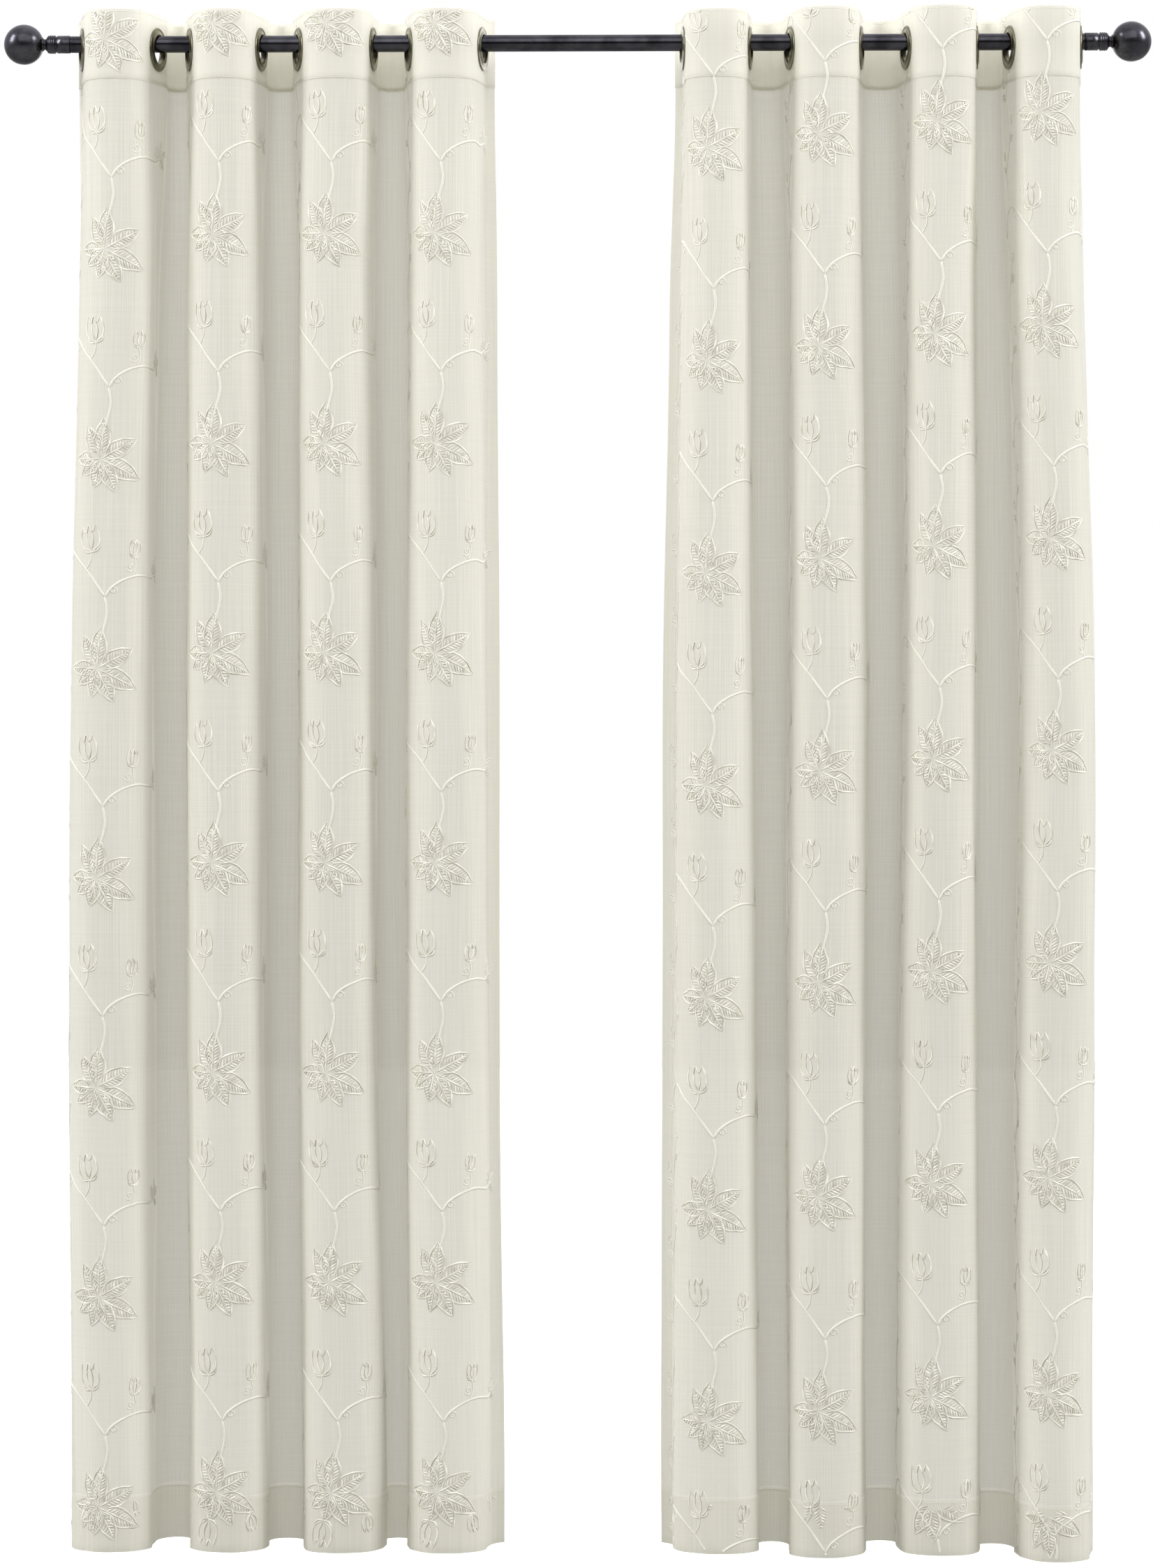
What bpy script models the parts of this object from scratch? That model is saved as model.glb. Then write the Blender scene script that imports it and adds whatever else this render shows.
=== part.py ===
# Pair of sheer voile curtains, hanging by metal eyelets from one rod with ball finials.
# Metres, +Z up. The origin is on the rod's axis, half way along it, and the room is towards -Y.
# Each cloth is a thin closed sheet. Its folds come from the real cut width: between two eyelets
# there is always the same length of cloth, so a narrow fold is deep and a wide one is shallow.

from math import cos, pi, radians, sin

import bmesh
import bpy
import numpy as np

MM = 0.001
CLEARANCE = 0.3 * MM

# Rod, collars and finials
ROD_DIAMETER = 23.5 * MM
ROD_HALF_LENGTH = 707.2 * MM
ROD_SIDES = 32
COLLAR_START = ROD_HALF_LENGTH + CLEARANCE
COLLAR_LENGTH = 33 * MM
COLLAR_RADIUS = 12.4 * MM
BALL_RADIUS = 28 * MM
BALL_CENTRE = 772.5 * MM
NECK_RADIUS = 7.5 * MM
TURNED_SIDES = 16
BALL_RINGS = 9

# Cloth
CUT_WIDTH = 1371.6 * MM
SIDE_MARGIN = 50 * MM
EYELETS = 8
PITCH = (CUT_WIDTH - 2 * SIDE_MARGIN) / (EYELETS - 1)
HEADING_TOP = 40 * MM
SEAM_HEIGHT = -56 * MM
HEM_HEIGHT = -2022 * MM
CLOTH_BOTTOM = -2098 * MM
VOILE_THICKNESS = 1.2 * MM
HEM_THICKNESS = 2.0 * MM
HEADING_THICKNESS = 2.2 * MM

# Eyelets: a groove between two flanges holds the heading
EYELET_SIDES = 16
EYELET_HOLE_RADIUS = 20 * MM
EYELET_BARREL_RADIUS = 23 * MM
EYELET_RADIUS = 30 * MM
EYELET_HALF_DEPTH = 4.0 * MM
EYELET_CHEEK_RADIUS = 27 * MM
EYELET_CHEEK_DEPTH = 3.7 * MM
EYELET_SEAT_GAP = 0.5 * MM
EYELET_HEIGHT = ROD_DIAMETER / 2 + EYELET_SEAT_GAP - EYELET_HOLE_RADIUS

# Folds: the cloth is flat beside an eyelet, then turns back over the rest of the way
STEPS_PER_FOLD = 48
STATIONS_PER_FOLD = 12
FLAT_STATIONS = 2
FLAT_AT_EYELET = PITCH * FLAT_STATIONS / STATIONS_PER_FOLD
FLAT_IN_CLOTH = 10 * MM
SPLAY_IN_CLOTH = 4
SOFTENED_HEIGHT = -380 * MM
CLOTH_ROWS = 9
SOLVER_ROUNDS = 14
LARGEST_TURN = 0.35

# Heights at which the tables below give where the cloth crosses the line of the rod
TABLE_HEIGHTS = np.array((-2000, -1400, -900, -100)) * MM

# A row for each eyelet, from left to right, in millimetres and degrees: where the cloth crosses
# at the rod, at -900, -1400 and -2000, how far the eyelet turns inwards at the front of its fold,
# how much the top edge rises there, and how much lower the hem hangs
FOLD_COLUMNS = ("rod", "middle", "low", "hem", "splay", "rise", "drop")
LEFT_FOLDS = (
    (-689.6, -705.8, -709.2, -703.9, 12.0, 0.0, 0.0),
    (-586.3, -594.5, -594.5, -592.1, 16.0, 0.5, 0.0),
    (-539.6, -545.2, -542.3, -538.4, 14.0, 0.0, -1.0),
    (-442.2, -436.9, -438.4, -432.0, 10.5, -0.5, 0.0),
    (-387.7, -387.1, -386.2, -382.3, 16.5, 0.0, 1.0),
    (-285.4, -282.2, -280.2, -268.1, 6.5, 0.0, 0.0),
    (-232.8, -235.8, -237.7, -234.9, 12.0, 0.5, 0.5),
    (-132.5, -128.0, -127.0, -122.1, 11.0, -1.0, 0.0),
)
RIGHT_FOLDS = (
    (150.0, 140.0, 139.0, 136.7, 5.0, -3.0, 0.0),
    (240.2, 245.5, 249.4, 254.2, 5.5, -1.0, 1.0),
    (298.6, 297.7, 294.5, 296.3, 11.5, 0.5, 6.0),
    (395.2, 405.5, 401.7, 401.7, 6.5, 1.5, 3.0),
    (460.7, 457.3, 452.0, 447.0, 11.0, 2.5, 0.0),
    (556.2, 555.9, 556.9, 560.8, 4.0, 2.0, 3.0),
    (603.9, 619.5, 614.0, 613.4, 12.5, 1.0, 8.0),
    (700.3, 720.5, 719.9, 716.0, 4.5, 0.5, 10.0),
)

# How far the cloth turns sideways between its outermost eyelet and its edge, in degrees
END_TURNS = {"left": (6, 48), "right": (48, 6)}

VOILE_COLOUR = (0.80, 0.78, 0.71)
HEADING_COLOUR = (0.84, 0.82, 0.75)
EYELET_COLOUR = (0.13, 0.12, 0.09)
ROD_COLOUR = (0.12, 0.12, 0.13)


def clear_scene():
    for item in list(bpy.data.objects):
        bpy.data.objects.remove(item)


def make_material(name, colour, roughness, metallic):
    material = bpy.data.materials.new(name)
    material.use_nodes = True
    shader = material.node_tree.nodes["Principled BSDF"]
    shader.inputs["Base Color"].default_value = (*colour, 1.0)
    shader.inputs["Roughness"].default_value = roughness
    shader.inputs["Metallic"].default_value = metallic
    return material


def make_object(name, points, faces, material):
    mesh = bpy.data.meshes.new(name)
    mesh.from_pydata(points, [], faces)
    shell = bmesh.new()
    shell.from_mesh(mesh)
    bmesh.ops.recalc_face_normals(shell, faces=shell.faces)
    shell.to_mesh(mesh)
    shell.free()
    mesh.shade_smooth()
    mesh.set_sharp_from_angle(angle=radians(40))
    mesh.materials.append(material)
    item = bpy.data.objects.new(name, mesh)
    bpy.context.scene.collection.objects.link(item)
    return item


def turned_points(profile, sides):
    """Turn (along, radius) pairs round the X axis, with the first corner straight up."""
    return [(along, radius * sin(2 * pi * side / sides), radius * cos(2 * pi * side / sides))
            for along, radius in profile for side in range(sides)]


def band_faces(bands, sides):
    """Quads between neighbouring circles, each band being a pair of circle numbers."""
    return [(a * sides + side, a * sides + (side + 1) % sides,
             b * sides + (side + 1) % sides, b * sides + side)
            for a, b in bands for side in range(sides)]


def make_turned(name, profile, sides, material):
    """A solid turned on the X axis, with a flat face at each end."""
    last = len(profile) - 1
    faces = band_faces([(i, i + 1) for i in range(last)], sides)
    faces.append(tuple(range(sides)))
    faces.append(tuple(range(last * sides, (last + 1) * sides)))
    return make_object(name, turned_points(profile, sides), faces, material)


def make_rod(material):
    radius = ROD_DIAMETER / 2
    profile = [(-ROD_HALF_LENGTH, radius), (ROD_HALF_LENGTH, radius)]
    make_turned("rod", profile, ROD_SIDES, material)


def make_collar(side_name, side, material):
    """Sleeve with a plain band, a groove, a raised ring and a chamfer towards the ball."""
    end = COLLAR_START + COLLAR_LENGTH
    profile = [
        (COLLAR_START, COLLAR_RADIUS - 0.5 * MM),
        (COLLAR_START + 0.6 * MM, COLLAR_RADIUS),
        (end - 15 * MM, COLLAR_RADIUS),
        (end - 14.4 * MM, COLLAR_RADIUS - 1.2 * MM),
        (end - 12.8 * MM, COLLAR_RADIUS - 1.2 * MM),
        (end - 12.2 * MM, COLLAR_RADIUS + 0.5 * MM),
        (end - 3.6 * MM, COLLAR_RADIUS + 0.5 * MM),
        (end, COLLAR_RADIUS - 3.4 * MM),
    ]
    make_turned("collar_" + side_name, [(side * along, radius) for along, radius in profile],
                TURNED_SIDES, material)


def make_finial(side_name, side, material):
    """Short waisted neck that runs into a ball, with a small flat at the ball's far end."""
    start = COLLAR_START + COLLAR_LENGTH + CLEARANCE
    profile = [(start, NECK_RADIUS + 1.2 * MM), (start + 1.8 * MM, NECK_RADIUS)]
    first_angle = pi - np.arcsin(NECK_RADIUS / BALL_RADIUS) * 1.05
    last_angle = 0.09
    for ring in range(BALL_RINGS + 1):
        angle = first_angle + (last_angle - first_angle) * ring / BALL_RINGS
        profile.append((BALL_CENTRE + BALL_RADIUS * cos(angle), BALL_RADIUS * sin(angle)))
    make_turned("finial_" + side_name, [(side * along, radius) for along, radius in profile],
                TURNED_SIDES, material)


def fold_column(folds, name):
    return np.array([row[FOLD_COLUMNS.index(name)] for row in folds])


def crossing_rows(folds, heights):
    """Where the cloth crosses the line of the rod, for each height and each eyelet."""
    known = np.array([fold_column(folds, name) for name in ("hem", "low", "middle", "rod")]) * MM
    return np.stack([np.interp(heights, TABLE_HEIGHTS, known[:, i]) for i in range(EYELETS)], 1)


def softening(heights):
    """0 in the heading, rising smoothly to 1 where the folds no longer feel the eyelets."""
    way = np.clip((SEAM_HEIGHT - heights) / (SEAM_HEIGHT - SOFTENED_HEIGHT), 0, 1)
    return way * way * (3 - 2 * way)


def fold_angles(start_angle, end_angle, flat, way, swell, lean):
    """Direction of the cloth along a fold: steady beside the eyelets and turning between them,
    with a swell that narrows or widens the fold and a lean that brings it back to the rod."""
    turn = np.clip((way * PITCH - flat) / (PITCH - 2 * flat), 0, 1)
    return (start_angle + (end_angle - start_angle) * turn
            + swell * np.sin(2 * pi * turn) + lean * np.sin(pi * turn))


def solve_fold(start_angle, end_angle, flat, span):
    """Find the swell and the lean for which a fold of one pitch spans the given width."""
    way = (np.arange(STEPS_PER_FOLD) + 0.5) / STEPS_PER_FOLD
    turn = np.clip((way * PITCH - flat) / (PITCH - 2 * flat), 0, 1)
    swell_part, lean_part = np.sin(2 * pi * turn), np.sin(pi * turn)
    swell = lean = 0.0
    for _ in range(SOLVER_ROUNDS):
        angles = fold_angles(start_angle, end_angle, flat, way, swell, lean)
        across, out = np.cos(angles), np.sin(angles)
        miss = np.array((span / PITCH - across.mean(), -out.mean()))
        slopes = np.array((
            (-(out * swell_part).mean(), -(out * lean_part).mean()),
            ((across * swell_part).mean(), (across * lean_part).mean()),
        ))
        change = np.clip(np.linalg.solve(slopes, miss), -LARGEST_TURN, LARGEST_TURN)
        swell, lean = swell + change[0], lean + change[1]
    return fold_angles(start_angle, end_angle, flat, way, swell, lean)


def end_run(angle, turn, flat, x, sideways):
    """The cloth between an outermost eyelet and the panel's edge, from the eyelet outwards."""
    steps = STEPS_PER_FOLD // 2
    way = (np.arange(steps) + 0.5) / steps
    bend = np.clip((way * SIDE_MARGIN - flat) / (SIDE_MARGIN - flat), 0, 1)
    angles = angle - sideways * radians(turn) * bend
    step = sideways * SIDE_MARGIN / steps
    run_x = x + np.cumsum(np.cos(angles)) * step
    run_y = np.cumsum(np.sin(angles)) * step
    picks = np.array((steps * 3 // 5, steps * 4 // 5, steps)) - 1
    return run_x[picks], run_y[picks], angles[picks]


def section(x, splay, flat, turns):
    """One level line through the cloth: x, y and direction at every station of the grid."""
    facing = np.where(np.arange(EYELETS) % 2 == 0, -1, 1)
    angles = facing * (pi / 2 - splay)
    first = end_run(angles[0], turns[0], flat, x[0], -1)
    last = end_run(angles[-1], turns[1], flat, x[-1], 1)
    runs = [tuple(values[::-1] for values in first)]
    stride = STEPS_PER_FOLD // STATIONS_PER_FOLD
    picks = np.arange(FLAT_STATIONS, STATIONS_PER_FOLD - FLAT_STATIONS + 1) * stride
    for fold in range(EYELETS - 1):
        line = solve_fold(angles[fold], angles[fold + 1], flat, x[fold + 1] - x[fold])
        step = PITCH / STEPS_PER_FOLD
        line_x = x[fold] + np.cumsum(np.cos(line)) * step
        line_y = np.cumsum(np.sin(line)) * step
        middle = (line[picks - 1] + line[picks]) / 2
        runs.append((line_x[picks - 1], line_y[picks - 1], middle))
    runs.append(last)
    return [np.concatenate(values) for values in zip(*runs)]


def station_lengths():
    """How far along the cut width each station of the grid lies."""
    edge = SIDE_MARGIN * np.array((1, 4 / 5, 3 / 5))
    picks = np.arange(FLAT_STATIONS, STATIONS_PER_FOLD - FLAT_STATIONS + 1) / STATIONS_PER_FOLD
    folds = [SIDE_MARGIN + PITCH * (fold + picks) for fold in range(EYELETS - 1)]
    return np.concatenate([SIDE_MARGIN - edge, *folds, CUT_WIDTH - SIDE_MARGIN + edge[::-1]])


def eyelet_lengths():
    return SIDE_MARGIN + PITCH * np.arange(EYELETS)


def make_sheet(name, folds, turns, heights, thicknesses, edges, material):
    """A closed sheet: every row is a section of the folds, thickened evenly to both sides.
    edges holds how far the top row rises and the bottom row drops, at every station."""
    splay = np.radians(fold_column(folds, "splay"))
    soft = softening(heights)
    crossings = crossing_rows(folds, heights)
    front, back = [], []
    for row, height in enumerate(heights):
        eased = splay * (1 - soft[row]) + radians(SPLAY_IN_CLOTH) * soft[row]
        flat = FLAT_AT_EYELET * (1 - soft[row]) + FLAT_IN_CLOTH * soft[row]
        x, y, angle = section(crossings[row], eased, flat, turns)
        across = np.stack((-np.sin(angle), np.cos(angle))) * thicknesses[row] / 2
        level = np.full(len(x), height)
        if row == 0:
            level += edges[0]
        if row == len(heights) - 1:
            level -= edges[1]
        front.append(np.stack((x - across[0], y - across[1], level), 1))
        back.append(np.stack((x + across[0], y + across[1], level), 1))
    points = np.concatenate(front + back)
    return make_object(name, points.tolist(), sheet_faces(len(heights), len(x)), material)


def sheet_faces(rows, columns):
    """Both sides of the sheet and the strip that closes it all the way round its edge.
    A twisted cell is split along the same diagonal on both sides, which keeps them apart."""
    other = rows * columns
    faces = []
    for row in range(rows - 1):
        for column in range(columns - 1):
            a = row * columns + column
            c = a + columns + 1
            for triangle in ((a, a + 1, c), (a, c, c - 1)):
                faces.append(triangle)
                faces.append(tuple(other + corner for corner in reversed(triangle)))
    top = list(range(columns))
    right = [row * columns + columns - 1 for row in range(1, rows)]
    bottom = [(rows - 1) * columns + column for column in range(columns - 2, -1, -1)]
    left = [row * columns for row in range(rows - 2, 0, -1)]
    rim = top + right + bottom + left
    for a, b in zip(rim, rim[1:] + rim[:1]):
        faces.append((b, a, other + a, other + b))
    return faces


def make_heading(side_name, folds, material):
    """The doubled strip along the top, with a round hole for each eyelet."""
    rise = np.interp(station_lengths(), eyelet_lengths(), fold_column(folds, "rise")) * MM
    heights = np.array((HEADING_TOP, SEAM_HEIGHT))
    thicknesses = np.full(2, HEADING_THICKNESS)
    heading = make_sheet("heading_" + side_name, folds, END_TURNS[side_name], heights,
                         thicknesses, (rise, 0), material)
    cut = heading.modifiers.new("eyelet holes", "BOOLEAN")
    cut.operation = "DIFFERENCE"
    cut.object = make_hole_cutter(side_name, folds, material)


def make_hole_cutter(side_name, folds, material):
    """Short drums that lie where the eyelets' barrels pass through the heading."""
    reach = 2 * HEADING_THICKNESS
    radius = EYELET_BARREL_RADIUS + CLEARANCE
    drum = turned_points([(-reach, radius), (reach, radius)], EYELET_SIDES)
    points, faces = [], []
    for x, angle in eyelet_places(folds):
        first = len(points)
        points += [(x + a * cos(angle) - b * sin(angle), a * sin(angle) + b * cos(angle),
                    c + EYELET_HEIGHT) for a, b, c in drum]
        quads = band_faces([(0, 1)], EYELET_SIDES)
        ends = [tuple(range(EYELET_SIDES)), tuple(range(EYELET_SIDES, 2 * EYELET_SIDES))]
        faces += [tuple(first + corner for corner in face) for face in quads + ends]
    cutter = make_object("holes_" + side_name, points, faces, material)
    cutter.hide_render = True
    cutter.display_type = "WIRE"
    return cutter


def eyelet_places(folds):
    """The place of each eyelet on the rod and its turn about the upright."""
    splay = np.radians(fold_column(folds, "splay"))
    turns = np.where(np.arange(EYELETS) % 2 == 0, splay, -splay)
    return list(zip(fold_column(folds, "rod") * MM, turns))


def make_panel(side_name, folds, material):
    """The voile below the heading, down to its hem, which is the same cloth turned up."""
    top = SEAM_HEIGHT - CLEARANCE
    way = np.linspace(0, 1, CLOTH_ROWS) ** 1.3
    fine = top + (HEM_HEIGHT - top) * way
    heights = np.concatenate((fine, [HEM_HEIGHT - MM, CLOTH_BOTTOM]))
    thicknesses = np.full(len(heights), VOILE_THICKNESS)
    thicknesses[-2:] = HEM_THICKNESS
    drop = np.interp(station_lengths(), eyelet_lengths(), fold_column(folds, "drop")) * MM
    make_sheet("panel_" + side_name, folds, END_TURNS[side_name], heights, thicknesses,
               (0, drop), material)


def make_eyelets(side_name, folds, material):
    """Metal eyelets: a barrel through the heading and a rounded flange on either side."""
    groove = HEADING_THICKNESS / 2 + CLEARANCE
    half = [
        (EYELET_HALF_DEPTH, EYELET_HOLE_RADIUS),
        (EYELET_CHEEK_DEPTH, EYELET_CHEEK_RADIUS),
        (groove, EYELET_RADIUS),
        (groove, EYELET_BARREL_RADIUS),
    ]
    profile = half + [(-along, radius) for along, radius in reversed(half)]
    count = len(profile)
    faces = band_faces([(i, (i + 1) % count) for i in range(count)], EYELET_SIDES)
    points = turned_points(profile, EYELET_SIDES)
    for number, (x, angle) in enumerate(eyelet_places(folds), 1):
        name = "eyelet_{}_{}".format(side_name, number)
        eyelet = make_object(name, points, faces, material)
        eyelet.location = (x, 0, EYELET_HEIGHT)
        eyelet.rotation_euler = (0, 0, angle)


def main():
    clear_scene()
    voile = make_material("voile", VOILE_COLOUR, 0.85, 0.0)
    doubled = make_material("doubled voile", HEADING_COLOUR, 0.85, 0.0)
    bronze = make_material("dark bronze", EYELET_COLOUR, 0.35, 1.0)
    pewter = make_material("dark pewter", ROD_COLOUR, 0.32, 1.0)
    make_rod(pewter)
    for side_name, side in (("left", -1), ("right", 1)):
        make_collar(side_name, side, pewter)
        make_finial(side_name, side, pewter)
    for side_name, folds in (("left", LEFT_FOLDS), ("right", RIGHT_FOLDS)):
        make_heading(side_name, folds, doubled)
        make_panel(side_name, folds, voile)
        make_eyelets(side_name, folds, bronze)


main()
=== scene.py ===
from math import cos, pi, radians, sin

import bpy
import numpy as np
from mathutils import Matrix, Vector


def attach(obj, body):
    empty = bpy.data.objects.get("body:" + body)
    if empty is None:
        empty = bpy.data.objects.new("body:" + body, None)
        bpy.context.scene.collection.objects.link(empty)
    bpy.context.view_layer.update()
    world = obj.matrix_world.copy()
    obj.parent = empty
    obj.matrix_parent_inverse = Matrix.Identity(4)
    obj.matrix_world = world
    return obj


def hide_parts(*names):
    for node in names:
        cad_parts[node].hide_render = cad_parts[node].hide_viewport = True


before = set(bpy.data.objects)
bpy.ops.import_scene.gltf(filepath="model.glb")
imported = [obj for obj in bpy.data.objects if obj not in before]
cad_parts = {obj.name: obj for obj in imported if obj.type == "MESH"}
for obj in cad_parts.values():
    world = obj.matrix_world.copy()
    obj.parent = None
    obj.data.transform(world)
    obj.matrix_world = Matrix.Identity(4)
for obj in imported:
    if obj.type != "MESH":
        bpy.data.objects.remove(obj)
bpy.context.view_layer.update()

# Pair of ivory voile curtains with embroidered leaf sprays, on metal eyelets and one dark rod.
# Metres, +Z up. The rod's axis is the X axis and the room is towards -Y.

mm = 0.001


def hexColour(text):
    # sRGB hex to linear: v / 12.92 below 0.04045, else ((v + 0.055) / 1.055) ^ 2.4
    v = np.array([int(text[i:i + 2], 16) for i in (0, 2, 4)]) / 255
    linear = np.where(v <= 0.04045, v / 12.92, ((v + 0.055) / 1.055) ** 2.4)
    return (*linear.tolist(), 1.0)


def addNode(tree, kind, settings=None, **links):
    # one node: settings are its properties or sockets, links go from other nodes' outputs
    node = tree.nodes.new(kind)
    for name, value in (settings or {}).items():
        if isinstance(name, int) or name in node.inputs:
            node.inputs[name].default_value = value
        else:
            setattr(node, name, value)
    for name, output in links.items():
        socket = node.inputs[int(name[1:])] if name[1:].isdigit() else node.inputs[name.replace("_", " ")]
        tree.links.new(output, socket)
    return node


def newMaterial(name):
    material = bpy.data.materials.new(name)
    material.use_nodes = True
    material.node_tree.nodes.clear()
    return material, material.node_tree


def makeMesh(name, points, quads, uv, *materials, finish=None):
    # whole arrays straight into one mesh; points that no face uses are dropped
    used, quads = np.unique(quads, return_inverse=True)
    quads = quads.reshape(-1, 4)
    points, uv = points[used], uv[used]
    mesh = bpy.data.meshes.new(name)
    mesh.vertices.add(len(points))
    mesh.vertices.foreach_set("co", points.astype(np.float32).ravel())
    mesh.loops.add(quads.size)
    mesh.loops.foreach_set("vertex_index", quads.astype(np.int32).ravel())
    mesh.polygons.add(len(quads))
    mesh.polygons.foreach_set("loop_start", np.arange(0, quads.size, 4, dtype=np.int32))
    mesh.polygons.foreach_set("use_smooth", np.ones(len(quads), dtype=bool))
    layer = mesh.uv_layers.new(name="flatCloth")
    layer.data.foreach_set("uv", uv[quads.ravel()].astype(np.float32).ravel())
    mesh.update(calc_edges=True)
    mesh.validate()
    for material in materials:
        mesh.materials.append(material)
    if finish is not None:
        mesh.polygons.foreach_set("material_index", finish.astype(np.int32))
    piece = bpy.data.objects.new(name, mesh)
    bpy.context.scene.collection.objects.link(piece)
    return piece


def gridQuads(rows, columns, wrap=False):
    # quads of a rows x columns grid; wrap joins the last column to the first
    index = np.arange(rows * columns).reshape(rows, columns)
    if wrap:
        index = np.concatenate((index, index[:, :1]), 1)
    return np.stack((index[:-1, :-1], index[:-1, 1:], index[1:, 1:], index[1:, :-1]), -1)


# Camera, at the photograph's angle: level, 6.67 m away and a little to the right
camera = {
    "distance": 6.665,
    "turn": radians(1.1),
    "height": -1.0334,
    "lens": 109.7,
}


def placeCamera():
    data = bpy.data.cameras.new("camera")
    data.lens = camera["lens"]
    data.sensor_width = 36
    data.clip_end = 60
    item = bpy.data.objects.new("camera", data)
    item.location = (camera["distance"] * sin(camera["turn"]),
                     -camera["distance"] * cos(camera["turn"]), camera["height"])
    item.rotation_euler = (pi / 2, 0, camera["turn"])
    bpy.context.scene.collection.objects.link(item)
    bpy.context.scene.camera = item


# Plain pale floor in a plain white room: where the floor lies, how far it reaches, its colour and
# its glow to the camera, and how strongly the room lights the cloth from each direction
studio = {
    "floor": -2.145,
    "halfWidth": 12,
    "paper": "a2a29e",
    "glow": 0.95,
    "roomLight": "fbfbff",
    "roomFront": 0.12,
    "roomBack": 1.15,
    "roomSides": 0.70,
    "roomBelow": 0.02,
}


def makeFloor():
    # one square; it glows for the camera alone, so it looks white but throws little light up
    x = y = np.array((-1, 1)) * studio["halfWidth"]
    points = np.stack(np.broadcast_arrays(x[None, :], y[:, None], studio["floor"]), -1).reshape(-1, 3)
    material, tree = newMaterial("white paper floor")
    ray = addNode(tree, "ShaderNodeLightPath")
    glow = addNode(tree, "ShaderNodeMath", {"operation": "MULTIPLY", 1: studio["glow"]},
                   i0=ray.outputs["Is Camera Ray"])
    paper = addNode(tree, "ShaderNodeBsdfDiffuse", {"Color": hexColour(studio["paper"])})
    shine = addNode(tree, "ShaderNodeEmission", Strength=glow.outputs[0])
    both = addNode(tree, "ShaderNodeAddShader", i0=paper.outputs[0], i1=shine.outputs[0])
    addNode(tree, "ShaderNodeOutputMaterial", Surface=both.outputs[0])
    makeMesh("floor", points, gridQuads(2, 2).reshape(-1, 4), points[:, :2], material)


lights = {
    # name: place, aims at, width, height, watts
    "topBox": ((0, -3.0, 2.0), (0, 0, -0.8), 4.6, 2.6, 60),
    "rightBox": ((7.8, -2.5, 3.8), (0.2, 0, -0.7), 2.4, 4.4, 580),
    "leftBox": ((-7.8, -2.5, 3.8), (-0.2, 0, -0.7), 2.4, 4.4, 580),
    "backBox": ((0, 1.6, 0.0), (0, 0, -0.8), 2.4, 1.2, 14),
}


def placeLights():
    for name, (place, aim, width, height, watts) in lights.items():
        data = bpy.data.lights.new(name, "AREA")
        data.shape = "RECTANGLE"
        data.size, data.size_y = width, height
        data.energy = watts
        item = bpy.data.objects.new(name, data)
        item.location = place
        item.rotation_euler = (Vector(aim) - Vector(place)).to_track_quat("-Z", "Y").to_euler()
        item.visible_camera = False
        bpy.context.scene.collection.objects.link(item)


def makeRoomLight():
    # light by direction: (front to back + sides * (1 - y * y)) * (below to 1)
    # to the camera it is plain white
    world = bpy.data.worlds.new("soft room")
    world.use_nodes = True
    tree = world.node_tree
    tree.nodes.clear()
    coords = addNode(tree, "ShaderNodeTexCoord")
    parts = addNode(tree, "ShaderNodeSeparateXYZ", Vector=coords.outputs["Generated"])
    depth = addNode(tree, "ShaderNodeMapRange", {"From Min": -1.0, "To Min": studio["roomFront"],
                                                 "To Max": studio["roomBack"]}, Value=parts.outputs[1])
    square = addNode(tree, "ShaderNodeMath", {"operation": "MULTIPLY"},
                     i0=parts.outputs[1], i1=parts.outputs[1])
    sides = addNode(tree, "ShaderNodeMapRange", {"To Min": studio["roomSides"], "To Max": 0.0},
                    Value=square.outputs[0])
    ring = addNode(tree, "ShaderNodeMath", {"operation": "ADD"}, i0=depth.outputs[0], i1=sides.outputs[0])
    rise = addNode(tree, "ShaderNodeMapRange", {"From Min": -1.0, "To Min": studio["roomBelow"]},
                   Value=parts.outputs[2])
    strength = addNode(tree, "ShaderNodeMath", {"operation": "MULTIPLY"},
                       i0=ring.outputs[0], i1=rise.outputs[0])
    sky = addNode(tree, "ShaderNodeBackground", {"Color": hexColour(studio["roomLight"])},
                  Strength=strength.outputs[0])
    white = addNode(tree, "ShaderNodeBackground", {"Strength": 1.0, "Color": hexColour("ffffff")})
    ray = addNode(tree, "ShaderNodeLightPath")
    seen = addNode(tree, "ShaderNodeMixShader", i0=ray.outputs["Is Camera Ray"], i1=sky.outputs[0],
                   i2=white.outputs[0])
    addNode(tree, "ShaderNodeOutputWorld", Surface=seen.outputs[0])
    bpy.context.scene.world = world
    bpy.context.scene.view_settings.view_transform = "Standard"


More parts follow.
